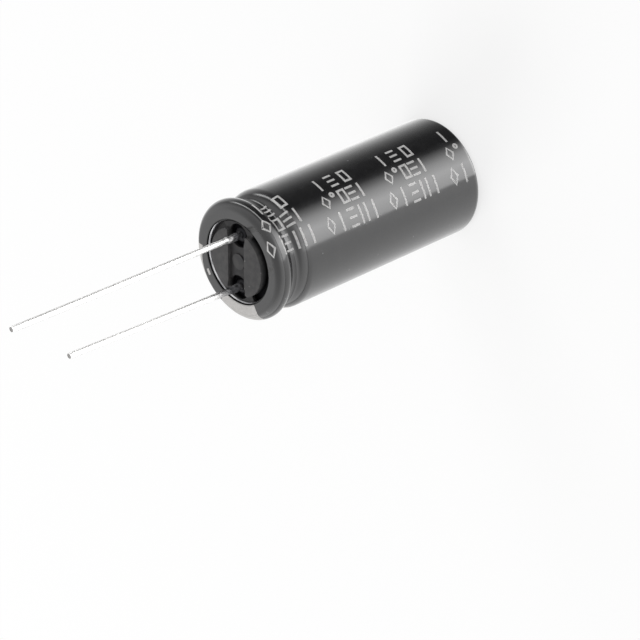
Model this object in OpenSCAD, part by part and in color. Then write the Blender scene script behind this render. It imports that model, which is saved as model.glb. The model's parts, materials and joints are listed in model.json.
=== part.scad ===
// Radial electrolytic capacitor, 16 mm across, sleeved, with two straight leads.
// It stands on its closed end, and the leads point up. All sizes are in millimetres.

/* [Can] */
// Outside diameter of the bare aluminium can
can_d = 16; // [16:0.5:20]
// Height of the can, from its closed end to the top of its curled rim
can_h = 36.33; // [30:0.01:45]
// Thickness of the drawn side wall
can_wall = 0.35; // [0.25:0.05:0.4]
// Thickness of the closed end
can_base = 0.45; // [0.35:0.05:0.8]
// Outside radius of the corner round the closed end
can_corner_r = 0.85; // [0.5:0.05:1.2]
// Inside radius of that corner
can_inner_corner_r = 0.5; // [0.2:0.05:0.8]

/* [Vent] */
// Length of each arm of the cross scored in the closed end
vent_arm = 4.6; // [2:0.1:5.5]
// Width of the score at the surface
vent_w = 0.5; // [0.2:0.05:0.8]
// Depth of the score
vent_depth = 0.25; // [0.1:0.05:0.3]

/* [Crimped end] */
// How far the curled rim stands out beyond the can's side
rim_swell = 0.13; // [0:0.01:0.3]
// Width of the rim's face, from its outer edge to the inner face of its lip
rim_w = 2.58; // [1.8:0.01:2.6]
// Outside radius of the curl at the rim's outer edge
curl_r = 1.15; // [0.6:0.05:1.2]
// Outside radius of the bend at the rim's inner edge
lip_bend_r = 0.5; // [0.45:0.05:0.8]
// Height of the lip, from the top of the rim to its cut edge
lip_h = 1.3; // [1:0.05:2]
// Depth of the bead groove that grips the rubber
bead_depth = 1.1; // [0.4:0.05:1.4]
// Radius of the hollow of the bead groove
bead_r = 1.2; // [0.9:0.05:1.6]
// Radius of the shoulder between the can's side and the bead groove
shoulder_r = 2; // [1:0.1:3]

/* [Sleeve] */
// Thickness of the shrunk sleeve
sleeve_t = 0.13; // [0.08:0.01:0.25]
// Clearance between the sleeve and the can
sleeve_gap = 0.02; // [0.01:0.01:0.05]
// Width of the ring that the sleeve covers on the closed end
sleeve_ring = 1.6; // [1.3:0.1:2.5]
// Angle through which the sleeve follows the bend at the rim's inner edge
sleeve_wrap = 18; // [5:1:60]

/* [Rubber seal] */
// Clearance between the rubber and what it seals against
seal_gap = 0.02; // [0.01:0.01:0.04]
// Height of the seal, from its underside to the floor of its pockets
seal_h = 6.1; // [5.6:0.1:8]
// Chamfer round the underside of the seal
seal_chamfer = 0.4; // [0.1:0.1:0.8]
// Depth of the pocket floor below the top of the rim
pocket_drop = 0.88; // [0.6:0.02:1.2]
// Width of the crescent pockets beside the pads
pocket_w = 0.8; // [0.5:0.05:1.2]
// Angle that each crescent pocket spans
pocket_span = 120; // [80:5:120]
// Height of the land at the leads above the pocket floor
land_h = 0.7; // [0.4:0.05:0.8]
// Height of the two D-shaped pads above the land
pad_h = 0.55; // [0.3:0.05:1]
// Radius of the corners of the pads, seen from above
pad_corner_r = 0.5; // [0.2:0.05:0.8]
// Width of the channel between the pads
channel_w = 3; // [2.6:0.1:4]
// Diameter of the round recess about each lead
recess_d = 3.3; // [2.8:0.1:3.4]
// Depth of that recess below the land
recess_depth = 0.6; // [0.3:0.05:0.8]
// Diameter of the boss in the middle of the channel
boss_d = 2.2; // [1:0.1:2.6]
// Height of the boss above the channel
boss_h = 0.18; // [0.05:0.01:0.5]

/* [Tabs] */
// Distance between the two leads
lead_pitch = 7.5; // [6.5:0.1:7.6]
// Diameter of the round shank that passes through the rubber
shank_d = 2.1; // [1.6:0.1:2.5]
// Height of the shank above the floor of the recess
shank_proud = 0.4; // [0.2:0.05:0.8]
// Radius of the rounded shoulder at the top of the shank
shank_round_r = 0.5; // [0.2:0.05:0.6]
// Length of shank below the rubber
shank_below = 0.3; // [0.1:0.1:1]
// Width of the flat paddle
paddle_w = 3; // [2.4:0.1:4]
// Thickness of the flat paddle
paddle_t = 0.3; // [0.2:0.05:0.6]
// Length of the flat paddle inside the winding
paddle_l = 20; // [5:1:21]

/* [Leads] */
// Diameter of the tinned wire
wire_d = 0.8; // [0.5:0.1:0.9]
// Height of the positive lead's tip above the rim
positive_l = 37.12; // [10:0.01:50]
// Height of the negative lead's tip above the rim
negative_l = 28.11; // [10:0.01:50]
// Lean of the positive lead, in degrees
positive_lean = 0.7; // [0:0.05:3]
// Lean of the negative lead, in degrees
negative_lean = 1.45; // [0:0.05:3]
// Direction in which both leads lean, in degrees from the positive lead's side
lean_direction = 35.5; // [0:0.5:360]
// Height of the weld that joins wire and shank
weld_h = 2.8; // [1.2:0.1:4]
// Height of the taper from the top of the weld to the bare wire
weld_taper_h = 0.9; // [0.3:0.1:1]
// How far the weld stands out round the wire where that taper starts
weld_swell = 0.07; // [0.05:0.01:0.1]

/* [Winding] */
// Clearance between the wound element and the can's wall
winding_gap = 0.2; // [0.16:0.01:0.5]
// Diameter of the hole that the winding mandrel left
mandrel_d = 2.6; // [1.5:0.1:3.5]
// Space between the wound element and the rubber
headroom = 2; // [1.5:0.1:4]
// Distance from one turn to the next, at the ends of the roll
turn_pitch = 0.5; // [0.5:0.1:1]
// Width of the gap between two turns
turn_gap = 0.16; // [0.1:0.02:0.3]
// Depth to which the gaps open at the two ends
turn_depth = 0.5; // [0.2:0.1:1]
// Clearance between a tab's paddle and the turns beside it
slot_gap = 0.02; // [0.01:0.01:0.05]
// Thickness of the tape that closes the roll
tape_t = 0.06; // [0.04:0.01:0.07]
// Clearance between the tape and the roll
tape_gap = 0.01; // [0.005:0.005:0.02]
// Height of the band of tape
tape_h = 22; // [8:1:24]
// Angle through which the end of the tape overlaps its start
tape_lap = 50; // [10:5:120]

/* [Hidden] */
$fn = 96;
// Straight steps that stand for each rounded stretch of a profile
arc_steps = 10;
// Steps to a turn of the roll
turn_steps = 20;
// How far a cutter reaches past the face that it opens, and how far a raised form is rooted
reach = 0.2;
// Height of the upright collar at the foot of a weld, from which weld and wire lean together
collar_h = 0.2;
// Step from that collar to the weld, and from the end of the taper to the wire
weld_step = 0.04;

sleeve_out = sleeve_gap + sleeve_t;
can_r = can_d/2;
bore_r = can_r - can_wall;
base_z = sleeve_out;
floor_z = base_z + can_base;
rim_z = base_z + can_h;
rim_r = can_r + rim_swell;
lip_r = rim_r - rim_w;
lip_z = rim_z - lip_h;

// Centres of the rounded stretches of the can's profile, as [radius, height]
corner_c = [can_r - can_corner_r, base_z + can_corner_r];
curl_c = [rim_r - curl_r, rim_z - curl_r];
lip_c = [lip_r + lip_bend_r, rim_z - lip_bend_r];
bead_x = can_r - bead_depth + bead_r;
// The hollow of the bead is tangent to the curl above it and to the shoulder below it
curl_angle = acos((bead_x - curl_c[0])/(bead_r + curl_r));
bead_c = [bead_x, curl_c[1] - (bead_r + curl_r)*sin(curl_angle)];
shoulder_x = can_r - shoulder_r;
shoulder_angle = acos((bead_x - shoulder_x)/(bead_r + shoulder_r));
shoulder_c = [shoulder_x, bead_c[1] - (bead_r + shoulder_r)*sin(shoulder_angle)];

// Rubber: its heights follow the rim and its widths follow the lip
seal_out = -(can_wall + seal_gap);
seal_side_r = can_r + seal_out;
seal_plug_r = lip_r - seal_gap;
pocket_z = rim_z - pocket_drop;
land_z = pocket_z + land_h;
recess_z = land_z - recess_depth;
seal_z = pocket_z - seal_h;
pad_r = lip_r - pocket_w;

// Tabs and wires
lead_x = lead_pitch/2;
shank_r = shank_d/2;
weld_z = recess_z + shank_proud;
weld_r = shank_r - shank_round_r;
wire_r = wire_d/2;
shank_z = seal_z - shank_below;
winding_z = seal_z - headroom;
winding_r = bore_r - winding_gap;
winding_h = winding_z - floor_z;

// Points of a circular arc about a centre, from one angle to another
function arc(centre, r, from, to) =
    [for (i = [0:arc_steps])
        let (a = from + (to - from)*i/arc_steps)
        [centre[0] + r*cos(a), centre[1] + r*sin(a)]];

function backwards(points) = [for (i = [len(points) - 1:-1:0]) points[i]];

// The crimped end, from the shoulder over the bead and the curl to the rim's inner edge,
// drawn at a distance out from the can's outer face and ending after a turn of the bend there
function crimp(out, turn) = concat(
    arc(shoulder_c, shoulder_r + out, 0, shoulder_angle),
    arc(bead_c, bead_r - out, 180 + shoulder_angle, 180 - curl_angle),
    arc(curl_c, curl_r + out, -curl_angle, 90),
    arc(lip_c, lip_bend_r + out, 90, 90 + turn));

// One face of the sleeve, from the closed end to the rim's inner edge
function sleeve_face(out) = concat(
    [[can_r + sleeve_out - sleeve_ring, base_z - out]],
    arc(corner_c, can_corner_r + out, -90, 0),
    crimp(out, sleeve_wrap));

// The scored cross: two V-shaped furrows in the outer face of the closed end
module vent_score() {
    for (turn = [45, 135])
        rotate([0, 0, turn])
            translate([-vent_arm, 0, base_z])
                rotate([90, 0, 90])
                    linear_extrude(2*vent_arm)
                        polygon([[-vent_w/2, 0], [-vent_w/2, -reach], [vent_w/2, -reach],
                                 [vent_w/2, 0], [0, vent_depth]]);
}

// Drawn aluminium can with its bead, its curled rim and the lip that bites into the rubber
module can() {
    inner_corner_c = [bore_r - can_inner_corner_r, floor_z + can_inner_corner_r];
    outside = concat(
        [[0, base_z]],
        arc(corner_c, can_corner_r, -90, 0),
        crimp(0, 90),
        [[lip_r, lip_z]]);
    inside = concat(
        [[0, floor_z]],
        arc(inner_corner_c, can_inner_corner_r, -90, 0),
        crimp(-can_wall, 90),
        [[lip_r + can_wall, lip_z]]);
    color("silver")
        difference() {
            rotate_extrude() polygon(concat(outside, backwards(inside)));
            vent_score();
        }
}

// Heat-shrunk sleeve: it wraps the closed end's corner, sinks into the bead and covers the rim
module sleeve() {
    color([0.11, 0.11, 0.12])
        rotate_extrude()
            polygon(concat(sleeve_face(sleeve_out), backwards(sleeve_face(sleeve_gap))));
}

// Outline of one D-shaped pad: a chord beside the channel, an arc beside the pocket
function pad_outline() =
    let (corner_y = channel_w/2 + pad_corner_r,
         corner_x = sqrt(pow(pad_r - pad_corner_r, 2) - pow(corner_y, 2)),
         side = atan2(corner_y, corner_x))
    concat(
        arc([corner_x, corner_y], pad_corner_r, -90, side),
        arc([0, 0], pad_r, side, 90),
        arc([0, 0], pad_r, 90, 180 - side),
        arc([-corner_x, corner_y], pad_corner_r, 180 - side, 270));

// Turned body of the seal, squeezed to the shape of the crimped can, with a groove for the lip
module seal_body() {
    rotate_extrude()
        polygon(concat(
            [[0, seal_z], [seal_side_r - seal_chamfer, seal_z], [seal_side_r, seal_z + seal_chamfer]],
            crimp(seal_out, 90),
            [[lip_r - seal_out, lip_z - seal_gap], [seal_plug_r, lip_z - seal_gap],
             [seal_plug_r, land_z], [0, land_z]]));
}

// Crescent pockets between the pads and the lip
module pockets() {
    for (side = [90, 270])
        rotate([0, 0, side - pocket_span/2])
            rotate_extrude(angle = pocket_span)
                translate([pad_r - reach, pocket_z])
                    square([pocket_w + reach + can_wall/2, land_h + reach]);
}

// Moulded rubber seal with its two raised pads, middle boss and lead recesses
module rubber_seal() {
    color([0.2, 0.2, 0.21])
        difference() {
            union() {
                difference() {
                    seal_body();
                    pockets();
                }
                for (side = [0, 180])
                    rotate([0, 0, side])
                        translate([0, 0, pocket_z - reach])
                            linear_extrude(land_h + pad_h + reach) polygon(pad_outline());
                translate([0, 0, land_z - reach]) cylinder(d = boss_d, h = boss_h + reach);
            }
            for (x = [-lead_x, lead_x]) {
                translate([x, 0, recess_z]) cylinder(d = recess_d, h = recess_depth + pad_h + reach);
                translate([x, 0, seal_z - reach])
                    cylinder(r = shank_r + seal_gap, h = recess_z - seal_z + 2*reach);
            }
        }
}

// Room between two faces of the press: as wide as the paddle is there, and wider than the shank
module press(width) {
    pressed_r = shank_r + reach;
    depth = paddle_w/2 + 2*reach;
    translate([0, depth, 0])
        rotate([90, 0, 0])
            linear_extrude(2*depth)
                polygon([[-width/2, winding_z - paddle_l - reach], [width/2, winding_z - paddle_l - reach],
                         [width/2, winding_z], [pressed_r, shank_z], [pressed_r, weld_z + reach],
                         [-pressed_r, weld_z + reach], [-pressed_r, shank_z], [-width/2, winding_z]]);
}

// Aluminium tab: a round bar whose lower end is pressed flat, with a taper up to its shank
module tab(x) {
    blank_r = paddle_w/2 + reach;
    translate([x, 0, 0])
        intersection() {
            rotate_extrude()
                polygon(concat(
                    [[0, winding_z - paddle_l], [blank_r, winding_z - paddle_l], [blank_r, winding_z],
                     [shank_r, shank_z]],
                    arc([weld_r, weld_z - shank_round_r], shank_round_r, 0, 90),
                    [[0, weld_z]]));
            press(paddle_t);
            rotate([0, 0, 90]) press(paddle_w);
        }
}

module tab_positive() { color("gainsboro") tab(lead_x); }
module tab_negative() { color("gainsboro") tab(-lead_x); }

// Tinned wire and the weld at its foot. Above an upright collar both lean a little, as they
// were bent in handling.
module lead(x, tip_height, lean) {
    lean_z = weld_z + collar_h/2;
    taper_top = weld_z + weld_h - lean_z;
    wire_l = (rim_z + tip_height - lean_z)/cos(lean);
    translate([x, 0, weld_z]) cylinder(r = weld_r, h = collar_h);
    translate([x, 0, lean_z])
        rotate([0, 0, lean_direction])
            rotate([0, lean, 0]) {
                cylinder(r = wire_r, h = wire_l);
                rotate_extrude()
                    polygon([[0, 0], [weld_r - weld_step, 0],
                             [wire_r + weld_swell, taper_top - weld_taper_h],
                             [wire_r + weld_step, taper_top], [0, taper_top]]);
            }
}

module lead_positive() { color("whitesmoke") lead(lead_x, positive_l, positive_lean); }
module lead_negative() { color("whitesmoke") lead(-lead_x, negative_l, negative_lean); }

// Gap between the turns as it shows at one end of the roll: a flat spiral ribbon
module turn_gaps() {
    first_r = mandrel_d/2 + turn_pitch;
    turns = floor((winding_r - first_r - turn_pitch)/turn_pitch);
    steps = turns*turn_steps;
    edge = [for (i = [0:steps]) [first_r + turn_pitch*i/turn_steps, 360*i/turn_steps]];
    near = [for (p = edge) [p[0]*cos(p[1]), p[0]*sin(p[1])]];
    far = [for (p = edge) [(p[0] + turn_gap)*cos(p[1]), (p[0] + turn_gap)*sin(p[1])]];
    linear_extrude(turn_depth + reach) polygon(concat(near, backwards(far)));
}

// Wound element: anode foil, cathode foil and paper rolled together as one solid.
// Its lower edge is rounded as the can's inner corner is, because it stands on the can's floor.
module wound_element() {
    lower_edge_c = [winding_r - can_inner_corner_r, floor_z + can_inner_corner_r];
    color("wheat")
        difference() {
            rotate_extrude()
                polygon(concat(
                    [[mandrel_d/2, floor_z]],
                    arc(lower_edge_c, can_inner_corner_r, -90, 0),
                    [[winding_r, winding_z], [mandrel_d/2, winding_z]]));
            translate([0, 0, winding_z - turn_depth]) turn_gaps();
            translate([0, 0, floor_z - reach]) turn_gaps();
            for (x = [-lead_x, lead_x])
                translate([x - paddle_t/2 - slot_gap, -paddle_w/2 - slot_gap, winding_z - paddle_l - slot_gap])
                    cube([paddle_t + 2*slot_gap, paddle_w + 2*slot_gap, paddle_l + slot_gap + reach]);
        }
}

// Tape that closes the roll: one wrap, with its end lapped over its start
module closing_tape() {
    tape_r = winding_r + tape_gap;
    tape_z = floor_z + (winding_h - tape_h)/2;
    color("khaki")
        translate([0, 0, tape_z]) {
            rotate_extrude() translate([tape_r, 0]) square([tape_t, tape_h]);
            rotate_extrude(angle = tape_lap) translate([tape_r + tape_t/2, 0]) square([1.5*tape_t, tape_h]);
        }
}

can();
sleeve();
rubber_seal();
tab_positive();
tab_negative();
lead_positive();
lead_negative();
wound_element();
closing_tape();
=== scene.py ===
"""Looks of a radial electrolytic capacitor that stands on its closed end, leads up.

Sizes are in millimetres. A piece is scaled to metres when it is finished, and a place on the
sleeve is given by the angle round the can and the distance along the film, which is equal to
the height on the straight wall of the can.
"""

import json
import logging
import math
from collections.abc import Iterable, Sequence
from dataclasses import dataclass, field
from enum import Enum

import bmesh
import bpy
from mathutils import Matrix, Vector, noise


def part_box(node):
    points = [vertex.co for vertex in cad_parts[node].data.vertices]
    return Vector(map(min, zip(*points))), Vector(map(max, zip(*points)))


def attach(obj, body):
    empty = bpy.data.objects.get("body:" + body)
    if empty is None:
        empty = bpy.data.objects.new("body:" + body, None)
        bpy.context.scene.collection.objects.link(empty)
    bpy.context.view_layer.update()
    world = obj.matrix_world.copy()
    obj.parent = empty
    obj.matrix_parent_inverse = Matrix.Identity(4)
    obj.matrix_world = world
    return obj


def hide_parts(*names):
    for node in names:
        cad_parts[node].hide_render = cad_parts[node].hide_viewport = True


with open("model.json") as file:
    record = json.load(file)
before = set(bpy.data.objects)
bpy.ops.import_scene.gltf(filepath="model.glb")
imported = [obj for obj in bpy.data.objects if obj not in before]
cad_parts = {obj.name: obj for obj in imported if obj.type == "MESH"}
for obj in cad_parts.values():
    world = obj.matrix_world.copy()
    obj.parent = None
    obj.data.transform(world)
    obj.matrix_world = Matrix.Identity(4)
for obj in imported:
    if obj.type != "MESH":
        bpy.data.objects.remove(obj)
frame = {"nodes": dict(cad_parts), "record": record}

LOG = logging.getLogger("capacitor")
MM = 0.001
BODY = "root"
SEAM = 1e-5
CUT_SEAM = 1e-4
ROUNDING = 1e-9

Point = tuple[float, float]
Triple = tuple[float, float, float]
Colour = Triple
Shape = bmesh.types.BMesh
Socket = bpy.types.NodeSocket

# Most of a noise lies between these values.
NOISE_ENDS: Point = (0.3, 0.7)


def smooth_step(low: float, high: float, value: float) -> float:
    """Rises smoothly from 0 to 1.

    Args:
        low: Value at which the rise starts.
        high: Value at which it ends.
        value: Where it is read.

    Returns:
        A share from 0 to 1.
    """
    share = min(max((value - low) / (high - low), 0.0), 1.0)
    return share * share * (3.0 - 2.0 * share)


@dataclass(frozen=True)
class Bend:
    """A round stretch of an outline. Its side is 1 where it bulges and -1 where it is hollow."""

    centre: Point
    radius: float
    start: float
    end: float
    side: int = 1

    def length(self, out: float) -> float:
        """Length of the stretch, drawn at a distance out from the outline."""
        return math.radians(abs(self.end - self.start)) * (self.radius + self.side * out)

    def at(self, share: float, out: float) -> Point:
        """Finds a point on the stretch.

        Args:
            share: Share of the stretch, from 0 to 1.
            out: Distance out from the outline.

        Returns:
            Its radius and height.
        """
        angle = math.radians(self.start + (self.end - self.start) * share)
        reach = self.radius + self.side * out
        return self.centre[0] + reach * math.cos(angle), self.centre[1] + reach * math.sin(angle)


@dataclass(frozen=True)
class Run:
    """A straight stretch of an outline, with the direction that points out of the can."""

    start: Point
    end: Point
    outward: Point

    def length(self, out: float) -> float:
        """Length of the stretch, which is the same at any distance out."""
        return math.dist(self.start, self.end)

    def at(self, share: float, out: float) -> Point:
        """Finds a point on the stretch.

        Args:
            share: Share of the stretch, from 0 to 1.
            out: Distance out from the outline.

        Returns:
            Its radius and height.
        """
        radius = self.start[0] + (self.end[0] - self.start[0]) * share + out * self.outward[0]
        height = self.start[1] + (self.end[1] - self.start[1]) * share + out * self.outward[1]
        return radius, height


@dataclass
class CrimpedOutline:
    """Outer face of the can: closed end, corner, wall, shoulder, bead groove, curl and rim."""

    rim_r: float
    base_z: float
    rim_z: float
    rim_swell: float = 0.13
    rim_w: float = 2.58
    ring_w: float = 1.45
    corner_r: float = 0.85
    shoulder_r: float = 2.0
    bead_r: float = 1.2
    bead_depth: float = 1.1
    curl_r: float = 1.15
    lip_bend_r: float = 0.5
    lip_h: float = 1.3
    film_wrap: float = 39.0

    def __post_init__(self) -> None:
        """Works out the centres of the bends, each tangent to the next."""
        self.can_r = self.rim_r - self.rim_swell
        self.lip_r = self.rim_r - self.rim_w
        self.lip_z = self.rim_z - self.lip_h
        self.corner_c = (self.can_r - self.corner_r, self.base_z + self.corner_r)
        self.curl_c = (self.rim_r - self.curl_r, self.rim_z - self.curl_r)
        self.lip_c = (self.lip_r + self.lip_bend_r, self.rim_z - self.lip_bend_r)
        bead_x = self.can_r - self.bead_depth + self.bead_r
        curl_reach = self.bead_r + self.curl_r
        self.curl_angle = math.degrees(math.acos((bead_x - self.curl_c[0]) / curl_reach))
        bead_z = self.curl_c[1] - curl_reach * math.sin(math.radians(self.curl_angle))
        self.bead_c = (bead_x, bead_z)
        shoulder_x = self.can_r - self.shoulder_r
        shoulder_reach = self.bead_r + self.shoulder_r
        self.shoulder_angle = math.degrees(math.acos((bead_x - shoulder_x) / shoulder_reach))
        shoulder_z = bead_z - shoulder_reach * math.sin(math.radians(self.shoulder_angle))
        self.shoulder_c = (shoulder_x, shoulder_z)

    def closed_part(self) -> list[Bend | Run]:
        """The closed end's ring, its corner and the straight wall.

        Returns:
            The stretches from the ring's inner edge to the shoulder.
        """
        ring_start = (self.can_r - self.ring_w, self.base_z)
        return [
            Run(ring_start, (self.corner_c[0], self.base_z), (0.0, -1.0)),
            Bend(self.corner_c, self.corner_r, -90.0, 0.0),
            Run((self.can_r, self.corner_c[1]), (self.can_r, self.shoulder_c[1]), (1.0, 0.0)),
        ]

    def crimped_part(self, lip_turn: float) -> list[Bend | Run]:
        """The crimped end.

        Args:
            lip_turn: Angle through which the bend at the rim's inner edge is followed.

        Returns:
            The stretches from the shoulder to that bend.
        """
        hollow_start = 180.0 + self.shoulder_angle
        return [
            Bend(self.shoulder_c, self.shoulder_r, 0.0, self.shoulder_angle),
            Bend(self.bead_c, self.bead_r, hollow_start, 180.0 - self.curl_angle, -1),
            Bend(self.curl_c, self.curl_r, -self.curl_angle, 90.0),
            Run((self.curl_c[0], self.rim_z), (self.lip_c[0], self.rim_z), (0.0, 1.0)),
            Bend(self.lip_c, self.lip_bend_r, 90.0, 90.0 + lip_turn),
        ]


def spun(shape: Shape, segments: int) -> Shape:
    """Spins a profile, drawn in the XZ plane, a full turn about Z and closes its seam.

    Args:
        shape: The profile's vertices and edges.
        segments: Steps to the turn.

    Returns:
        The same shape, with its faces pointing outwards.
    """
    bmesh.ops.spin(
        shape,
        geom=shape.verts[:] + shape.edges[:],
        cent=(0.0, 0.0, 0.0),
        axis=(0.0, 0.0, 1.0),
        angle=math.tau,
        steps=segments,
        use_merge=True,
    )
    bmesh.ops.remove_doubles(shape, verts=shape.verts, dist=SEAM)
    bmesh.ops.recalc_face_normals(shape, faces=shape.faces)
    return shape


def profile(points: Sequence[Point], closed: bool) -> Shape:
    """Draws a profile in the XZ plane.

    Args:
        points: Radius and height of each corner.
        closed: Whether the last corner joins the first.

    Returns:
        A shape of vertices and edges.
    """
    shape = bmesh.new()
    corners = [shape.verts.new((radius, 0.0, height)) for radius, height in points]
    ends = corners[1:] + corners[:1] if closed else corners[1:]
    for start, end in zip(corners, ends):
        shape.edges.new((start, end))
    return shape


class Carving(Enum):
    """How one closed shape changes another."""

    JOIN = "UNION"
    CUT = "DIFFERENCE"


def carved(body: Shape, tool: Shape, carving: Carving) -> Shape:
    """Joins a closed shape to another, or cuts it out of it.

    Args:
        body: The shape that is changed. It is used up.
        tool: The shape that changes it. It is used up.
        carving: What is done.

    Returns:
        The new shape.
    """
    holders = []
    for shape in (body, tool):
        mesh = bpy.data.meshes.new("carving")
        shape.to_mesh(mesh)
        shape.free()
        holder = bpy.data.objects.new("carving", mesh)
        bpy.context.scene.collection.objects.link(holder)
        holders.append(holder)
    modifier = holders[0].modifiers.new("carving", "BOOLEAN")
    modifier.operation = carving.value
    modifier.solver = "EXACT"
    modifier.object = holders[1]
    result = bmesh.new()
    result.from_object(holders[0], bpy.context.evaluated_depsgraph_get())
    for holder in holders:
        mesh = holder.data
        bpy.data.objects.remove(holder)
        bpy.data.meshes.remove(mesh)
    return result


def linked(name: str, shape: Shape) -> bpy.types.Object:
    """Turns a shape into an object of the scene.

    Args:
        name: The object's name.
        shape: Its shape in millimetres. It is used up.

    Returns:
        The new object.
    """
    bmesh.ops.scale(shape, vec=(MM, MM, MM), verts=shape.verts)
    mesh = bpy.data.meshes.new(name)
    shape.to_mesh(mesh)
    shape.free()
    thing = bpy.data.objects.new(name, mesh)
    bpy.context.scene.collection.objects.link(thing)
    return thing


def finished(
    name: str,
    shape: Shape,
    material: bpy.types.Material,
    replaced: str | None = None,
    sharp: float = 40.0,
) -> bpy.types.Object:
    """Turns a shape into a piece that rides on the part.

    Args:
        name: The piece's name.
        shape: Its shape in millimetres. It is used up.
        material: Its finish.
        replaced: The node that the piece stands for, if any.
        sharp: Angle in degrees above which an edge is shaded sharp.

    Returns:
        The new piece.
    """
    piece = linked(name, shape)
    mesh = piece.data
    mesh.polygons.foreach_set("use_smooth", [True] * len(mesh.polygons))
    mesh.set_sharp_from_angle(angle=math.radians(sharp))
    mesh.materials.append(material)
    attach(piece, BODY)
    if replaced:
        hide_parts(replaced)
    LOG.info("%s: %d faces", name, len(mesh.polygons))
    return piece


class NodeSheet:
    """A tree of shader nodes, filled from left to right."""

    def __init__(self, tree: bpy.types.NodeTree) -> None:
        """Starts on a tree."""
        self.tree = tree

    def feed(self, socket: Socket, value: object) -> None:
        """Sets a socket to a value, or links another node's output to it.

        Args:
            socket: The input.
            value: What it takes, a value or an output.
        """
        if isinstance(value, bpy.types.NodeSocket):
            self.tree.links.new(value, socket)
        else:
            socket.default_value = value

    def add(self, kind: str, inputs: dict[str | int, object], **settings: object) -> bpy.types.Node:
        """Adds a node.

        Args:
            kind: Class of the node, without its leading ShaderNode.
            inputs: What each input takes, a value or an output.
            settings: The node's own settings.

        Returns:
            The new node.
        """
        node = self.tree.nodes.new("ShaderNode" + kind)
        for name, value in settings.items():
            setattr(node, name, value)
        for name, value in inputs.items():
            self.feed(node.inputs[name], value)
        return node

    def math(self, operation: str, first: object, second: object = 0.0) -> Socket:
        """Adds a Math node and returns its output."""
        return self.add("Math", {0: first, 1: second}, operation=operation).outputs[0]

    def spread(self, value: Socket, low: float, high: float, new_low: float, new_high: float) -> Socket:
        """Maps a value from one range to another.

        Args:
            value: What is mapped.
            low: Start of its range.
            high: End of its range.
            new_low: Result at the start.
            new_high: Result at the end.

        Returns:
            The mapped value, which stays within the new range.
        """
        ends = {"From Min": low, "From Max": high, "To Min": new_low, "To Max": new_high}
        return self.add("MapRange", {"Value": value, **ends}).outputs["Result"]

    def blend(self, share: object, first: object, second: object) -> Socket:
        """Blends two colours.

        Args:
            share: Share of the second colour.
            first: The first colour.
            second: The second colour.

        Returns:
            The blended colour.
        """
        colour_inputs = {0: share, 6: first, 7: second}
        return self.add("Mix", colour_inputs, data_type="RGBA").outputs[2]

    def multiply_add(self, value: Socket, factor: float, base: object) -> Socket:
        """Adds a value times a factor to a base.

        Args:
            value: The value.
            factor: What it is multiplied by.
            base: What that is added to.

        Returns:
            The sum.
        """
        inputs = {0: value, 1: factor, 2: base}
        return self.add("Math", inputs, operation="MULTIPLY_ADD").outputs[0]

    def axis(self, vector: Socket, letter: str) -> Socket:
        """Takes one axis out of a vector."""
        return self.add("SeparateXYZ", {"Vector": vector}).outputs[letter]

    def upward(self) -> Socket:
        """Adds how far the surface points up, from -1 to 1."""
        return self.axis(self.add("TexCoord", {}).outputs["Normal"], "Z")

    def stretched(self, place: Socket, scale: Triple) -> Socket:
        """Stretches a pattern's place by a scale along each axis."""
        return self.add("Mapping", {"Vector": place, "Scale": scale}).outputs["Vector"]

    def radius(self, place: Socket) -> Socket:
        """Adds the distance from the can's axis."""
        flat = self.stretched(place, (1.0, 1.0, 0.0))
        return self.add("VectorMath", {0: flat}, operation="LENGTH").outputs["Value"]

    def noise(self, place: Socket, scale: object, detail: float = 2.0) -> Socket:
        """Adds a noise with a number of grains to each millimetre, and returns its value."""
        return self.add("TexNoise", {"Vector": place, "Scale": scale, "Detail": detail}).outputs["Fac"]

    def bump(self, height: Socket, depth: float, before: Socket | None = None) -> Socket:
        """Adds a bump.

        Args:
            height: Height from 0 to 1.
            depth: Depth of the bump in millimetres.
            before: The normal of a coarser bump, if there is one.

        Returns:
            The new normal.
        """
        inputs = {"Height": height, "Distance": depth * MM, "Strength": 1.0}
        if before is not None:
            inputs["Normal"] = before
        return self.add("Bump", inputs).outputs["Normal"]

    def principled(self, metallic: float, ior: float, inputs: dict[str | int, object]) -> None:
        """Adds the surface shader and the output.

        Args:
            metallic: How metallic the surface is.
            ior: Its index of refraction.
            inputs: What the shader's other inputs take.
        """
        shader = self.add("BsdfPrincipled", {"Metallic": metallic, "IOR": ior, **inputs})
        self.add("OutputMaterial", {"Surface": shader.outputs[0]})


def opaque(colour: Colour) -> tuple[float, float, float, float]:
    """Gives a colour its fourth value."""
    return (*colour, 1.0)


def grey(level: float) -> tuple[float, float, float, float]:
    """Makes a grey of a level from 0 to 1."""
    return opaque((level,) * 3)


def new_material(name: str) -> tuple[bpy.types.Material, NodeSheet]:
    """Starts a material that has no nodes yet.

    Args:
        name: The material's name.

    Returns:
        The material and a sheet on its nodes.
    """
    material = bpy.data.materials.new(name)
    material.use_nodes = True
    material.node_tree.nodes.clear()
    return material, NodeSheet(material.node_tree)


def group_sheet(name: str, inputs: Iterable[tuple[str, str, float]], outputs: Iterable[str]) -> NodeSheet:
    """Starts a node group whose inputs and outputs have names.

    Args:
        name: The group's name.
        inputs: Name, socket type and default of each input.
        outputs: Name of each output value.

    Returns:
        A sheet on the group's tree.
    """
    tree = bpy.data.node_groups.new(name, "ShaderNodeTree")
    for socket_name, kind, default in inputs:
        socket = tree.interface.new_socket(socket_name, in_out="INPUT", socket_type=kind)
        if kind == "NodeSocketFloat":
            socket.default_value = default
    for socket_name in outputs:
        tree.interface.new_socket(socket_name, in_out="OUTPUT", socket_type="NodeSocketFloat")
    return NodeSheet(tree)


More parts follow.
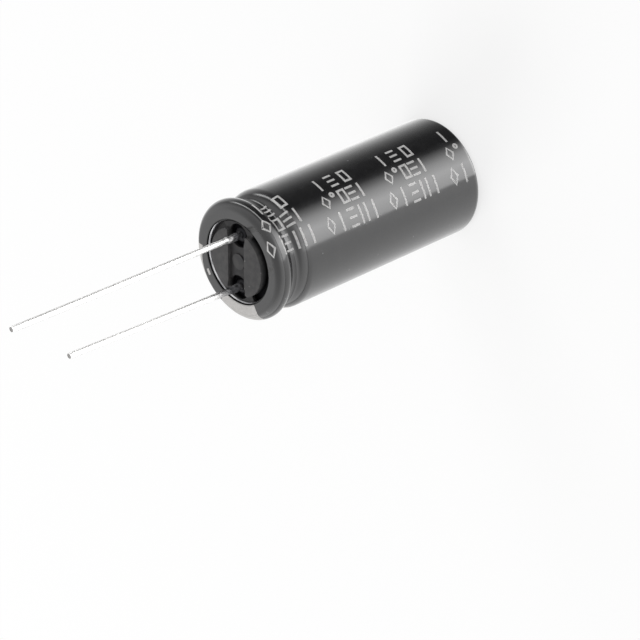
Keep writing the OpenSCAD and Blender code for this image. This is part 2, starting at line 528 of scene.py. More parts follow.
@dataclass
class SharedEffects:
    """Node groups that more than one finish uses. Each reads a place in millimetres."""

    patch_share: float = 0.13
    patch_ends: Point = (0.35, 0.65)
    scratch_turn: Triple = (0.4, 0.7, 0.2)
    scratch_stretch: Triple = (9.0, 0.35, 0.5)
    scratch_ends: Point = (0.69, 0.72)
    clean_share: float = 0.62
    speck_r: Point = (0.05, 0.09)

    def __post_init__(self) -> None:
        """Builds the groups."""
        self.grain = self.build_grain()
        self.handling = self.build_handling()

    def build_grain(self) -> bpy.types.NodeTree:
        """Builds grain at two scales, as moulding, rolling and drawing leave it.

        Returns:
            The group.
        """
        inputs = [("Place", "NodeSocketVector", 0.0), ("Grains", "NodeSocketFloat", 4.0)]
        sheet = group_sheet("surface_grain", inputs, ["Height", "Patches"])
        source = sheet.tree.nodes.new("NodeGroupInput")
        place, grains = source.outputs["Place"], source.outputs["Grains"]
        fine = sheet.noise(place, grains, 3.0)
        coarse = sheet.noise(place, sheet.math("MULTIPLY", grains, self.patch_share), 2.0)
        result = sheet.tree.nodes.new("NodeGroupOutput")
        sheet.feed(result.inputs["Height"], fine)
        sheet.feed(result.inputs["Patches"], sheet.spread(coarse, *self.patch_ends, 0.0, 1.0))
        return sheet.tree

    def build_handling(self) -> bpy.types.NodeTree:
        """Builds fine scratches and specks of dust, as masks from 0 to 1.

        Returns:
            The group.
        """
        inputs = [("Place", "NodeSocketVector", 0.0), ("Specks", "NodeSocketFloat", 0.9)]
        sheet = group_sheet("handling_marks", inputs, ["Scratches", "Dust"])
        source = sheet.tree.nodes.new("NodeGroupInput")
        place = source.outputs["Place"]
        ways = {"Vector": place, "Rotation": self.scratch_turn, "Scale": self.scratch_stretch}
        lines = sheet.noise(sheet.add("Mapping", ways).outputs["Vector"], 1.0, 1.0)
        scratches = sheet.spread(lines, *self.scratch_ends, 0.0, 1.0)
        cells = sheet.add("TexVoronoi", {"Vector": place, "Scale": source.outputs["Specks"]})
        sparse = sheet.math("GREATER_THAN", cells.outputs["Color"], self.clean_share)
        near = sheet.spread(cells.outputs["Distance"], *self.speck_r, 1.0, 0.0)
        result = sheet.tree.nodes.new("NodeGroupOutput")
        sheet.feed(result.inputs["Scratches"], scratches)
        sheet.feed(result.inputs["Dust"], sheet.math("MULTIPLY", sparse, near))
        return sheet.tree


@dataclass(frozen=True)
class Finish:
    """What every finish has: its colour, how rough it is, and how it is built."""

    name: str
    colour: Colour
    roughness: float
    ior: float = 1.45

    def start(self) -> tuple[bpy.types.Material, NodeSheet, Socket]:
        """Starts the material.

        Returns:
            The material, a sheet on its nodes, and the place on the piece in millimetres.
        """
        material, sheet = new_material(self.name)
        where = sheet.add("TexCoord", {})
        place = sheet.stretched(where.outputs["Object"], (1.0 / MM,) * 3)
        return material, sheet, place

    def effect(self, sheet: NodeSheet, group: bpy.types.NodeTree, **inputs: object) -> bpy.types.Node:
        """Places a shared effect.

        Args:
            sheet: The material's nodes.
            group: The effect.
            inputs: What its inputs take.

        Returns:
            The effect's node.
        """
        node = sheet.add("Group", {}, node_tree=group)
        for name, value in inputs.items():
            sheet.feed(node.inputs[name], value)
        return node


@dataclass(frozen=True)
class FilmFinish(Finish):
    """Glossy black film, shrunk tight: slightly wavy, with a faint bloom, stray dust and a painted shadow
    along its edge on the rim.
    """

    name: str = "black_film"
    colour: Colour = (0.0068, 0.0068, 0.0078)
    roughness: float = 0.13
    ior: float = 1.58
    bloom: Colour = (0.0105, 0.0104, 0.0112)
    bloom_rough: float = 0.04
    grains: float = 6.0
    scratch_rough: float = 0.08
    specks: float = 0.55
    dust: Colour = (0.3, 0.3, 0.31)
    dust_cover: float = 0.35
    wave_grains: float = 0.33
    wave_depth: float = 0.0022
    peel_grains: float = 2.6
    peel_depth: float = 0.0007
    # Painted shadow: near its cut edge on the rim the film turns nearly black, and metallic so that its
    # reflection goes dark too.
    painted_shade_edge_r: Point = (5.84, 5.92)
    painted_shade_edge_z: float = 30.0
    painted_cut_edge_shade: Colour = (0.003, 0.003, 0.0032)

    def build(self, effects: SharedEffects) -> bpy.types.Material:
        """Builds the material.

        Args:
            effects: The shared effects.

        Returns:
            The material.
        """
        material, sheet, place = self.start()
        grain = self.effect(sheet, effects.grain, Place=place, Grains=self.grains)
        marks = self.effect(sheet, effects.handling, Place=place, Specks=self.specks)
        patches = grain.outputs["Patches"]
        bloom = sheet.blend(patches, opaque(self.colour), opaque(self.bloom))
        dust_share = sheet.math("MULTIPLY", marks.outputs["Dust"], self.dust_cover)
        dusty = sheet.blend(dust_share, bloom, opaque(self.dust))
        rough = sheet.spread(patches, 0.0, 1.0, self.roughness, self.roughness + self.bloom_rough)
        scratched = sheet.multiply_add(marks.outputs["Scratches"], self.scratch_rough, rough)
        normal = sheet.bump(sheet.noise(place, self.wave_grains, 1.0), self.wave_depth)
        normal = sheet.bump(sheet.noise(place, self.peel_grains, 2.0), self.peel_depth, normal)
        # Painted shadow along the film's cut edge, where it curls over the rim's inner bend.
        inside = sheet.spread(sheet.radius(place), *self.painted_shade_edge_r, 1.0, 0.0)
        crimped = sheet.math("GREATER_THAN", sheet.axis(place, "Z"), self.painted_shade_edge_z)
        painted_edge_shadow = sheet.math("MULTIPLY", inside, crimped)
        skin = sheet.blend(painted_edge_shadow, dusty, opaque(self.painted_cut_edge_shade))
        inputs = {"Base Color": skin, "Roughness": scratched, "Normal": normal, "Metallic": painted_edge_shadow}
        sheet.principled(0.0, self.ior, inputs)
        return material


@dataclass(frozen=True)
class InkFinish(Finish):
    """Pale ink printed on the film: thin in places, with pinholes and a dry edge."""

    name: str = "pale_ink"
    colour: Colour = (0.63, 0.625, 0.62)
    roughness: float = 0.34
    ior: float = 1.5
    thin_colour: Colour = (0.46, 0.455, 0.45)
    thin_ends: Point = (0.36, 0.52)
    thin_rough: float = 0.1
    grains: float = 5.0
    grain_depth: float = 0.0015

    def build(self, effects: SharedEffects) -> bpy.types.Material:
        """Builds the material.

        Args:
            effects: The shared effects.

        Returns:
            The material.
        """
        material, sheet, place = self.start()
        grain = self.effect(sheet, effects.grain, Place=place, Grains=self.grains)
        thin = sheet.spread(grain.outputs["Height"], *self.thin_ends, 1.0, 0.0)
        coat = sheet.blend(thin, opaque(self.colour), opaque(self.thin_colour))
        roughest = self.roughness + self.thin_rough
        rough = sheet.spread(grain.outputs["Patches"], 0.0, 1.0, self.roughness, roughest)
        normal = sheet.bump(grain.outputs["Height"], self.grain_depth)
        sheet.principled(0.0, self.ior, {"Base Color": coat, "Roughness": rough, "Normal": normal})
        return material


@dataclass(frozen=True)
class RubberFinish(Finish):
    """Moulded rubber, matte and charcoal: a grey bloom on its skin, painted shade in its recesses and
    painted light on its far side.
    """

    name: str = "moulded_rubber"
    colour: Colour = (0.027, 0.027, 0.029)
    roughness: float = 0.56
    ior: float = 1.5
    gloss: float = 0.4
    bloom: Colour = (0.048, 0.047, 0.047)
    mottle: Colour = (0.075, 0.072, 0.070)
    mottle_cover: float = 0.35
    grains: float = 9.0
    grain_rough: float = 0.14
    grain_depth: float = 0.006
    patch_depth: float = 0.004
    specks: float = 1.3
    dust: Colour = (0.6, 0.6, 0.58)
    dust_cover: float = 0.7
    # Painted shade: below a set height the rubber turns nearly black, and metallic so that its reflection
    # goes dark too; the pocket on the far side is painted lighter.
    painted_recess_shade: Colour = (0.006, 0.006, 0.007)
    painted_shade_z: float = 35.72
    painted_light_z: float = 36.6
    painted_far_y: Point = (2.4, 3.4)
    painted_far_light: float = 0.7

    def build(self, effects: SharedEffects) -> bpy.types.Material:
        """Builds the material.

        Args:
            effects: The shared effects.

        Returns:
            The material.
        """
        material, sheet, place = self.start()
        grain = self.effect(sheet, effects.grain, Place=place, Grains=self.grains)
        marks = self.effect(sheet, effects.handling, Place=place, Specks=self.specks)
        skin = sheet.blend(grain.outputs["Patches"], opaque(self.colour), opaque(self.bloom))
        mottle_share = sheet.spread(grain.outputs["Height"], *NOISE_ENDS, 0.0, self.mottle_cover)
        skin = sheet.blend(mottle_share, skin, opaque(self.mottle))
        # Painted light and shade: lighter with height and towards the far pocket, nearly black and without
        # reflection low in the recesses.
        raised = sheet.spread(sheet.axis(place, "Z"), self.painted_shade_z, self.painted_light_z, 0.0, 1.0)
        painted_far_side_light = sheet.spread(sheet.axis(place, "Y"), *self.painted_far_y, 0.0, self.painted_far_light)
        painted_light_share = sheet.math("MAXIMUM", raised, painted_far_side_light)
        skin = sheet.blend(painted_light_share, opaque(self.painted_recess_shade), skin)
        dust_share = sheet.math("MULTIPLY", marks.outputs["Dust"], self.dust_cover)
        skin = sheet.blend(dust_share, skin, opaque(self.dust))
        painted_shade_share = sheet.math("SUBTRACT", 1.0, painted_light_share)
        roughest = self.roughness + self.grain_rough
        rough = sheet.spread(grain.outputs["Height"], *NOISE_ENDS, self.roughness, roughest)
        normal = sheet.bump(grain.outputs["Patches"], self.patch_depth)
        normal = sheet.bump(grain.outputs["Height"], self.grain_depth, normal)
        inputs = {"Base Color": skin, "Roughness": rough, "Normal": normal, "Metallic": painted_shade_share}
        sheet.principled(0.0, self.ior, inputs | {"Specular IOR Level": self.gloss})
        return material


@dataclass(frozen=True)
class AluminiumFinish(Finish):
    """Bare aluminium with the lines that drawing or pressing leaves along it, and, where asked for,
    painted shade towards the top.
    """

    name: str = "drawn_aluminium"
    colour: Colour = (0.60, 0.60, 0.61)
    roughness: float = 0.33
    stain: Colour = (0.24, 0.24, 0.25)
    grains: float = 3.0
    grain_depth: float = 0.001
    lines: Triple = (14.0, 14.0, 0.5)
    line_rough: Point = (-0.07, 0.12)
    line_depth: float = 0.0012
    scratch_rough: float = 0.15
    specks: float = 0.8
    # Painted shade: where it is asked for, the metal turns nearly black towards the top, where a tab sits
    # in the seal's recess.
    painted_top_shade: Colour = (0.022, 0.022, 0.024)
    painted_top_shade_z: Point = (35.2, 35.7)
    darkened: bool = False

    def build(self, effects: SharedEffects) -> bpy.types.Material:
        """Builds the material.

        Args:
            effects: The shared effects.

        Returns:
            The material.
        """
        material, sheet, place = self.start()
        grain = self.effect(sheet, effects.grain, Place=place, Grains=self.grains)
        marks = self.effect(sheet, effects.handling, Place=place, Specks=self.specks)
        drawn = sheet.noise(sheet.stretched(place, self.lines), 1.0, 3.0)
        metal = sheet.blend(grain.outputs["Patches"], opaque(self.colour), opaque(self.stain))
        # Painted shade towards the top, in the seal's recess.
        if self.darkened:
            painted_top_shade_share = sheet.spread(sheet.axis(place, "Z"), *self.painted_top_shade_z, 0.0, 1.0)
            metal = sheet.blend(painted_top_shade_share, metal, opaque(self.painted_top_shade))
        smoothest, roughest = (self.roughness + change for change in self.line_rough)
        rough = sheet.spread(drawn, *NOISE_ENDS, smoothest, roughest)
        scratched = sheet.multiply_add(marks.outputs["Scratches"], self.scratch_rough, rough)
        normal = sheet.bump(drawn, self.line_depth)
        normal = sheet.bump(grain.outputs["Height"], self.grain_depth, normal)
        inputs = {"Base Color": metal, "Roughness": scratched, "Normal": normal}
        sheet.principled(1.0, self.ior, inputs)
        return material


@dataclass(frozen=True)
class WireFinish(Finish):
    """Bright tin over drawn wire with painted shade along its edges, and the rough grey metal of the weld
    at its foot.
    """

    name: str = "tinned_wire"
    colour: Colour = (0.90, 0.895, 0.885)
    roughness: float = 0.40
    # Painted shade: a dark specular tint darkens the tin's reflection along the wire's edges.
    painted_edge_darkening: Colour = (0.14, 0.135, 0.13)
    dull_colour: Colour = (0.74, 0.735, 0.73)
    dull_ends: Point = (0.35, 0.7)
    dull_cover: float = 0.5
    lines: Triple = (11.0, 11.0, 0.25)
    line_rough: float = 0.14
    line_depth: float = 0.0008
    grains: float = 5.0
    weld_colour: Colour = (0.15, 0.15, 0.155)
    burnt_colour: Colour = (0.05, 0.05, 0.055)
    weld_rough: float = 0.62
    weld_depth: float = 0.03
    weld_top: float = 37.9
    weld_fade: float = 2.4
    weld_ragged: float = 1.6
    cut_colour: Colour = (0.33, 0.325, 0.32)
    cut_from_z: float = 60.0
    cut_upward: float = 0.9

    def build(self, effects: SharedEffects) -> bpy.types.Material:
        """Builds the material.

        Args:
            effects: The shared effects.

        Returns:
            The material.
        """
        material, sheet, place = self.start()
        grain = self.effect(sheet, effects.grain, Place=place, Grains=self.grains)
        height = sheet.axis(place, "Z")
        ragged = sheet.multiply_add(grain.outputs["Height"], self.weld_ragged, height)
        weld = sheet.spread(ragged, self.weld_top, self.weld_top + self.weld_fade, 1.0, 0.0)
        drawn = sheet.noise(sheet.stretched(place, self.lines), 1.0, 3.0)
        dull = sheet.spread(drawn, *self.dull_ends, 0.0, self.dull_cover)
        tin = sheet.blend(dull, opaque(self.colour), opaque(self.dull_colour))
        burnt = sheet.blend(grain.outputs["Patches"], opaque(self.weld_colour), opaque(self.burnt_colour))
        metal = sheet.blend(weld, tin, burnt)
        on_face = sheet.math("GREATER_THAN", sheet.upward(), self.cut_upward)
        near_tip = sheet.math("GREATER_THAN", height, self.cut_from_z)
        metal = sheet.blend(sheet.math("MULTIPLY", on_face, near_tip), metal, opaque(self.cut_colour))
        on_wire = sheet.spread(drawn, *NOISE_ENDS, self.roughness, self.roughness + self.line_rough)
        rough = sheet.math("MAXIMUM", on_wire, sheet.math("MULTIPLY", weld, self.weld_rough))
        normal = sheet.bump(drawn, self.line_depth)
        lumps = sheet.math("MULTIPLY", grain.outputs["Height"], weld)
        normal = sheet.bump(lumps, self.weld_depth, normal)
        inputs = {"Base Color": metal, "Roughness": rough, "Normal": normal}
        # The specular tint is painted shade on the wire's edges.
        sheet.principled(1.0, self.ior, inputs | {"Specular Tint": opaque(self.painted_edge_darkening)})
        return material


@dataclass(frozen=True)
class RollFinish(Finish):
    """Wound paper and foil: turns on the two ends, fibres on the side."""

    name: str = "wound_paper"
    colour: Colour = (0.62, 0.52, 0.36)
    roughness: float = 0.6
    fibre_colour: Colour = (0.48, 0.39, 0.26)
    fibre_stretch: Triple = (2.0, 2.0, 9.0)
    fibre_depth: float = 0.01
    grains: float = 7.0
    foil: Colour = (0.55, 0.55, 0.56)
    foil_rough: float = 0.32
    turns_per_mm: float = 5.0
    turn_wander: float = 0.05
    paper_share: float = 0.72
    end_upward: float = 0.7

    def build(self, effects: SharedEffects) -> bpy.types.Material:
        """Builds the material.

        Args:
            effects: The shared effects.

        Returns:
            The material.
        """
        material, sheet, place = self.start()
        grain = self.effect(sheet, effects.grain, Place=place, Grains=self.grains)
        patches = grain.outputs["Patches"]
        wander = sheet.multiply_add(patches, self.turn_wander, sheet.radius(place))
        turn = sheet.math("FRACT", sheet.math("MULTIPLY", wander, self.turns_per_mm))
        foil_edge = sheet.math("GREATER_THAN", turn, self.paper_share)
        on_end = sheet.math("GREATER_THAN", sheet.math("ABSOLUTE", sheet.upward()), self.end_upward)
        foil_share = sheet.math("MULTIPLY", foil_edge, on_end)
        fibres = sheet.noise(sheet.stretched(place, self.fibre_stretch), 1.0, 4.0)
        fibre_share = sheet.spread(fibres, *NOISE_ENDS, 0.0, 1.0)
        paper = sheet.blend(fibre_share, opaque(self.colour), opaque(self.fibre_colour))
        mixed = sheet.blend(foil_share, paper, opaque(self.foil))
        rough = sheet.spread(foil_share, 0.0, 1.0, self.roughness, self.foil_rough)
        normal = sheet.bump(fibres, self.fibre_depth)
        inputs = {"Base Color": mixed, "Roughness": rough, "Metallic": foil_share, "Normal": normal}
        sheet.principled(0.0, self.ior, inputs)
        return material


@dataclass(frozen=True)
class TapeFinish(Finish):
    """Smooth amber tape, with faint lines along it."""

    name: str = "amber_tape"
    colour: Colour = (0.62, 0.44, 0.12)
    roughness: float = 0.24
    ior: float = 1.48
    streak_colour: Colour = (0.5, 0.34, 0.08)
    streak_stretch: Triple = (0.4, 0.4, 5.0)
    streak_depth: float = 0.002
    grains: float = 1.6
    patch_rough: float = 0.12

    def build(self, effects: SharedEffects) -> bpy.types.Material:
        """Builds the material.

        Args:
            effects: The shared effects.

        Returns:
            The material.
        """
        material, sheet, place = self.start()
        grain = self.effect(sheet, effects.grain, Place=place, Grains=self.grains)
        streaks = sheet.noise(sheet.stretched(place, self.streak_stretch), 1.0, 3.0)
        streak_share = sheet.spread(streaks, *NOISE_ENDS, 0.0, 1.0)
        tint = sheet.blend(streak_share, opaque(self.colour), opaque(self.streak_colour))
        roughest = self.roughness + self.patch_rough
        rough = sheet.spread(grain.outputs["Patches"], 0.0, 1.0, self.roughness, roughest)
        normal = sheet.bump(streaks, self.streak_depth)
        sheet.principled(0.0, self.ior, {"Base Color": tint, "Roughness": rough, "Normal": normal})
        return material


@dataclass
class ShrunkSleeve:
    """Heat-shrunk film: it wraps the closed end's corner, sinks into the bead and covers the rim."""

    outline: CrimpedOutline
    gap: float = 0.02
    thickness: float = 0.13
    inside_box: float = 0.012
    slack: float = 0.010
    calm_share: float = 0.35
    pucker_zone: Point = (29.0, 34.0)
    ripple_scale: Point = (1.6, 0.16)
    segments: int = 240
    edge_wander: float = 0.05
    edge_zone: float = 0.6
    edge_scale: float = 3.0
    stretch_steps: tuple[int, ...] = (4, 10, 30, 14, 18, 24, 4, 8)
    stretches: list[Bend | Run] = field(init=False)

    def __post_init__(self) -> None:
        """Lays the film's stretches end to end, with the distance along them at each start."""
        self.out = self.gap + self.thickness - self.inside_box
        self.stretches = self.outline.closed_part() + self.outline.crimped_part(self.outline.film_wrap)
        lengths = [stretch.length(self.out) for stretch in self.stretches]
        self.first = self.outline.corner_c[1] - lengths[0] - lengths[1]
        self.starts = [self.first + sum(lengths[:i]) for i in range(len(lengths) + 1)]
        self.last = self.starts[-1]

    def ripple(self, around: float, along: float) -> float:
        """How far the film lies below its fullest outline, more so near the crimped end.

        Args:
            around: Angle round the can in radians.
            along: Distance along the film.

        Returns:
            A depth in millimetres.
        """
        across, down = self.ripple_scale
        spot = Vector((across * math.cos(around), across * math.sin(around), down * along))
        puckered = self.calm_share + (1.0 - self.calm_share) * smooth_step(*self.pucker_zone, along)
        return self.slack * puckered * (0.5 + 0.5 * noise.noise(spot))

    def edge_shift(self, around: float, along: float) -> float:
        """How far the film's two cut edges wander from a clean ring.

        Args:
            around: Angle round the can in radians.
            along: Distance along the film.

        Returns:
            How far a point is moved back along the film, which is nothing away from its edges.
        """
        at_last = smooth_step(self.last - self.edge_zone, self.last, along)
        past_first = smooth_step(self.first, self.first + self.edge_zone, along)
        spot = Vector((self.edge_scale * math.cos(around), self.edge_scale * math.sin(around), 0.0))
        return self.edge_wander * (1.0 + noise.noise(spot)) * (at_last - 1.0 + past_first)

    def place(self, around: float, along: float, lift: float) -> Vector:
        """Finds a point on the film.

        Args:
            around: Angle round the can in radians.
            along: Distance along the film.
            lift: Height above the film's outer face.

        Returns:
            The point.
        """
        along = min(max(along, self.first), self.last)
        index = next(i for i in range(len(self.stretches)) if along <= self.starts[i + 1] + ROUNDING)
        share = (along - self.starts[index]) / (self.starts[index + 1] - self.starts[index])
        radius, height = self.stretches[index].at(share, self.out + lift)
        return Vector((radius * math.cos(around), radius * math.sin(around), height))

    def rows(self) -> list[float]:
        """Finds where the film has a ring of points.

        Returns:
            Distances along the film.
        """
        found = [self.first]
        for start, end, steps in zip(self.starts, self.starts[1:], self.stretch_steps):
            found += [start + (end - start) * (i + 1) / steps for i in range(steps)]
        return found

    def build(self, material: bpy.types.Material) -> bpy.types.Object:
        """Builds the film as one closed wall.

        Args:
            material: Its finish.

        Returns:
            The piece.
        """
        inner_lift = self.inside_box - self.thickness
        face = [(along, 0.0) for along in self.rows()]
        loop = face + [(along, inner_lift) for along, _ in reversed(face)]
        shape = profile([(self.outline.can_r + lift, along) for along, lift in loop], closed=True)
        along_layer = shape.verts.layers.float.new("along")
        lift_layer = shape.verts.layers.float.new("lift")
        shape.verts.ensure_lookup_table()
        for corner, (along, lift) in zip(shape.verts, loop):
            corner[along_layer] = along
            corner[lift_layer] = lift
        spun(shape, self.segments)
        for corner in shape.verts:
            around = math.atan2(corner.co.y, corner.co.x)
            along = corner[along_layer]
            lift = corner[lift_layer]
            if lift == 0.0:
                lift = -self.ripple(around, along)
            corner.co = self.place(around, along - self.edge_shift(around, along), lift)
        bmesh.ops.recalc_face_normals(shape, faces=shape.faces)
        return finished("sleeve_film", shape, material, "sleeve")


class Mark(Enum):
    """Plain shapes that are printed in place of characters."""

    BAR = "bar"
    PAIR = "pair"
    STACK = "stack"
    FRAME = "frame"
    DIAMOND = "diamond"
    DOT = "dot"


@dataclass(frozen=True)
class PrintRow:
    """A row of marks along the can, repeated in groups, which drifts a little round the can."""

    marks: tuple[Mark, ...]
    angle: float
    first_along: float
    pitch: float
    height: float


@dataclass
class FilmPrint:
    """Ink on the film: laid out flat, given its thickness and wrapped round the can."""

    sleeve: ShrunkSleeve
    repeat: float = 11.1
    root: float = 0.004
    proud: float = 0.008
    finest: float = 0.24

    def __post_init__(self) -> None:
        """Works out the radius at which the flat print is rolled up."""
        self.print_r = self.sleeve.outline.can_r + self.sleeve.out

    def bar(self, shape: Shape, centre: Point, size: Point) -> None:
        """Lays a filled bar.

        Args:
            shape: The flat print.
            centre: Its centre, as distances round and along.
            size: Its sizes round and along.
        """
        steps = [max(1, math.ceil(side / self.finest)) for side in size]
        place = Matrix.Translation((*centre, 0.0)) @ Matrix.Diagonal((*size, 1.0, 1.0))
        bmesh.ops.create_grid(shape, x_segments=steps[0], y_segments=steps[1], size=0.5, matrix=place)

    def give_thickness(self, shape: Shape) -> None:
        """Turns every face of the flat print up, and gives it its thickness.

        Args:
            shape: The flat print.
        """
        shape.normal_update()
        facing_down = [face for face in shape.faces if face.normal.z < 0.0]
        bmesh.ops.reverse_faces(shape, faces=facing_down)
        bmesh.ops.solidify(shape, geom=shape.faces[:], thickness=self.root + self.proud)
        top = max(corner.co.z for corner in shape.verts)
        bmesh.ops.translate(shape, vec=(0.0, 0.0, self.proud - top), verts=shape.verts)

    def wrap(self, shape: Shape) -> None:
        """Wraps the print round the film.

        Args:
            shape: The flat print, with its thickness.
        """
        for corner in shape.verts:
            around = corner.co.x / self.print_r
            lift = corner.co.z - self.sleeve.ripple(around, corner.co.y)
            corner.co = self.sleeve.place(around, corner.co.y, lift)
        bmesh.ops.recalc_face_normals(shape, faces=shape.faces)


@dataclass
class SidePrint(FilmPrint):
    """Rows of pale marks on the side of the sleeve, which run over the groove and onto the rim."""

    drift: float = -2.0
    mark_w: float = 1.3
    stroke: float = 0.32
    diamond_share: float = 1.15
    dot_d: float = 0.85
    dot_raised: float = 0.35
    dot_corners: int = 20
    first_edge: float = 0.55
    longest_share: float = 1.5
    rows: tuple[PrintRow, ...] = (
        PrintRow((Mark.FRAME, Mark.STACK, Mark.BAR), -18.5, 0.25, 2.25, 2.1),
        PrintRow((Mark.BAR, Mark.STACK, Mark.FRAME, Mark.DOT, Mark.DIAMOND), -38.0, 0.3, 1.5, 2.1),
        PrintRow((Mark.BAR, Mark.PAIR, Mark.STACK, Mark.BAR, Mark.DIAMOND), -59.5, 0.42, 1.93, 2.6),
    )

    def ring(self, shape: Shape, centre: Point, size: Point, corners: int) -> None:
        """Lays an open ring, or a diamond where it has four corners.

        Args:
            shape: The flat print.
            centre: Its centre, as distances round and along.
            size: Its sizes round and along.
            corners: How many corners it has.
        """
        loops = []
        for inset in (0.0, self.stroke):
            half = [side / 2.0 - inset for side in size]
            place = Matrix.Translation((*centre, 0.0)) @ Matrix.Diagonal((*half, 1.0, 1.0))
            made = bmesh.ops.create_circle(shape, segments=corners, radius=1.0, matrix=place)
            loops += list({edge for corner in made["verts"] for edge in corner.link_edges})
        bmesh.ops.bridge_loops(shape, edges=loops)

    def lay(self, shape: Shape, mark: Mark, centre: Point, height: float) -> None:
        """Lays one mark.

        Args:
            shape: The flat print.
            mark: Which mark.
            centre: Its centre, as distances round and along.
            height: Its height, which runs round the can.
        """
        round_at, along_at = centre
        if mark is Mark.BAR:
            self.bar(shape, centre, (height, self.stroke))
        elif mark is Mark.PAIR:
            for side in (-1, 1):
                offset = side * (self.mark_w - self.stroke) / 2.0
                self.bar(shape, (round_at, along_at + offset), (height, self.stroke))
        elif mark is Mark.STACK:
            for level in (-1, 0, 1):
                offset = level * (height - self.stroke) / 2.0
                self.bar(shape, (round_at + offset, along_at), (self.stroke, self.mark_w))
        elif mark is Mark.FRAME:
            ends = (height - self.stroke) / 2.0
            sides = (self.mark_w - self.stroke) / 2.0
            for side in (-1, 1):
                self.bar(shape, (round_at + side * ends, along_at), (self.stroke, self.mark_w))
                post = (height - 2.0 * self.stroke, self.stroke)
                self.bar(shape, (round_at, along_at + side * sides), post)
        elif mark is Mark.DIAMOND:
            self.ring(shape, centre, (height, self.mark_w * self.diamond_share), 4)
        else:
            raised = (round_at + self.dot_raised * height, along_at)
            self.ring(shape, raised, (self.dot_d, self.dot_d), self.dot_corners)

    def build(self, material: bpy.types.Material) -> bpy.types.Object:
        """Lays the rows out flat, gives them their thickness and wraps them round the film.

        Args:
            material: The ink.

        Returns:
            The piece.
        """
        shape = bmesh.new()
        for row in self.rows:
            group_w = row.pitch * (len(row.marks) - 1)
            start = row.first_along - self.repeat
            while start < self.sleeve.last - self.stroke:
                for i, mark in enumerate(row.marks):
                    along = start + i * row.pitch - group_w / 2.0
                    drifted = row.angle + self.drift * (self.shift(along) / self.repeat)
                    centre = (math.radians(drifted) * self.print_r, along)
                    if self.fits(along):
                        self.lay(shape, mark, centre, row.height)
                start += self.repeat
        self.refine(shape)
        self.give_thickness(shape)
        self.wrap(shape)
        return finished("side_print", shape, material)

    def shift(self, along: float) -> float:
        """How far along a mark lies from the middle of the can, which sets its drift."""
        return (self.sleeve.first + self.sleeve.last) / 2.0 - along

    def fits(self, along: float) -> bool:
        """Whether a mark lies wholly on the side and the rim of the film."""
        return self.first_edge + self.mark_w / 2.0 <= along <= self.sleeve.last - self.mark_w

    def refine(self, shape: Shape) -> None:
        """Splits long edges, so that the print can follow the film's bends.

        Args:
            shape: The flat print.
        """
        longest = self.longest_share * self.finest
        long_edges = [edge for edge in shape.edges if edge.calc_length() > longest]
        while long_edges:
            bmesh.ops.subdivide_edges(shape, edges=long_edges, cuts=1, use_grid_fill=True)
            long_edges = [edge for edge in shape.edges if edge.calc_length() > longest]
        bmesh.ops.triangulate(shape, faces=[face for face in shape.faces if len(face.verts) > 4])


@dataclass
class PolarityStripe(FilmPrint):
    """Broad pale stripe on the negative side, with dark windows that each hold a minus sign."""

    ends: Point = (90.5, 211.5)
    window_ends: Point = (90.5, 154.5)
    first_window: float = 4.4
    window_l: float = 2.2
    sign_w: float = 1.05
    sign_h: float = 0.42
    sign_offset: float = 0.85
    rim_slant: float = 0.17
    edge_margin: float = 0.30
    bottom: float = 0.15
    steps: tuple[int, int] = (84, 132)

    def build(self, material: bpy.types.Material) -> bpy.types.Object:
        """Cuts the windows out of a flat sheet, adds the signs and wraps it round the film.

        Args:
            material: The ink.

        Returns:
            The piece.
        """
        left, right = (math.radians(angle) * self.print_r for angle in self.ends)
        window_left, window_right = (math.radians(angle) * self.print_r for angle in self.window_ends)
        middle = (window_left + window_right) / 2.0
        top = self.sleeve.last - self.edge_margin
        windows = self.windows(top)
        shape = bmesh.new()
        centre = ((left + right) / 2.0, (self.bottom + top) / 2.0, 0.0)
        size = (right - left, top - self.bottom, 1.0, 1.0)
        place = Matrix.Translation(centre) @ Matrix.Diagonal(size)
        x_steps, y_steps = self.steps
        bmesh.ops.create_grid(shape, x_segments=x_steps, y_segments=y_steps, size=0.5, matrix=place)
        self.slice(shape, (window_right, 0.0), (1.0, 0.0))
        for low, slant in windows:
            self.slice(shape, (middle, low), (slant, 1.0))
            self.slice(shape, (0.0, low + self.window_l), (0.0, 1.0))
        inside = []
        for face in shape.faces:
            spot = face.calc_center_median()
            if spot.x < window_right and self.in_window(spot.x - middle, spot.y, windows):
                inside.append(face)
        bmesh.ops.delete(shape, geom=inside, context="FACES")
        for low, _ in windows:
            if low + self.sign_offset < top:
                self.bar(shape, (middle, low + self.sign_offset), (self.sign_w, self.sign_h))
        self.give_thickness(shape)
        self.wrap(shape)
        return finished("polarity_stripe", shape, material)

    def windows(self, top: float) -> list[Point]:
        """Finds where the windows start. Only the one nearest the rim has a slanted lower edge.

        Args:
            top: Distance along the film at which the stripe ends.

        Returns:
            The start of each window, with the slant of its lower edge.
        """
        found = []
        start = self.first_window
        while start < top:
            is_last = start + self.repeat > top
            found.append((start, self.rim_slant if is_last else 0.0))
            start += self.repeat
        return found

    def in_window(self, aside: float, along: float, windows: Sequence[Point]) -> bool:
        """Whether a place on the flat sheet lies in one of the windows.

        Args:
            aside: Distance round the can from the middle of the windows.
            along: Distance along the film.
            windows: The start and slant of each window.

        Returns:
            Whether it does.
        """
        return any(low - slant * aside < along < low + self.window_l for low, slant in windows)

    def slice(self, shape: Shape, through: Point, across: Point) -> None:
        """Cuts the flat sheet along a line.

        Args:
            shape: The sheet.
            through: A point on the line, as distances round and along.
            across: The direction square to the line.
        """
        geometry = shape.verts[:] + shape.edges[:] + shape.faces[:]
        normal = Vector((*across, 0.0)).normalized()
        bmesh.ops.bisect_plane(
            shape, geom=geometry, dist=CUT_SEAM, plane_co=(*through, 0.0), plane_no=normal
        )


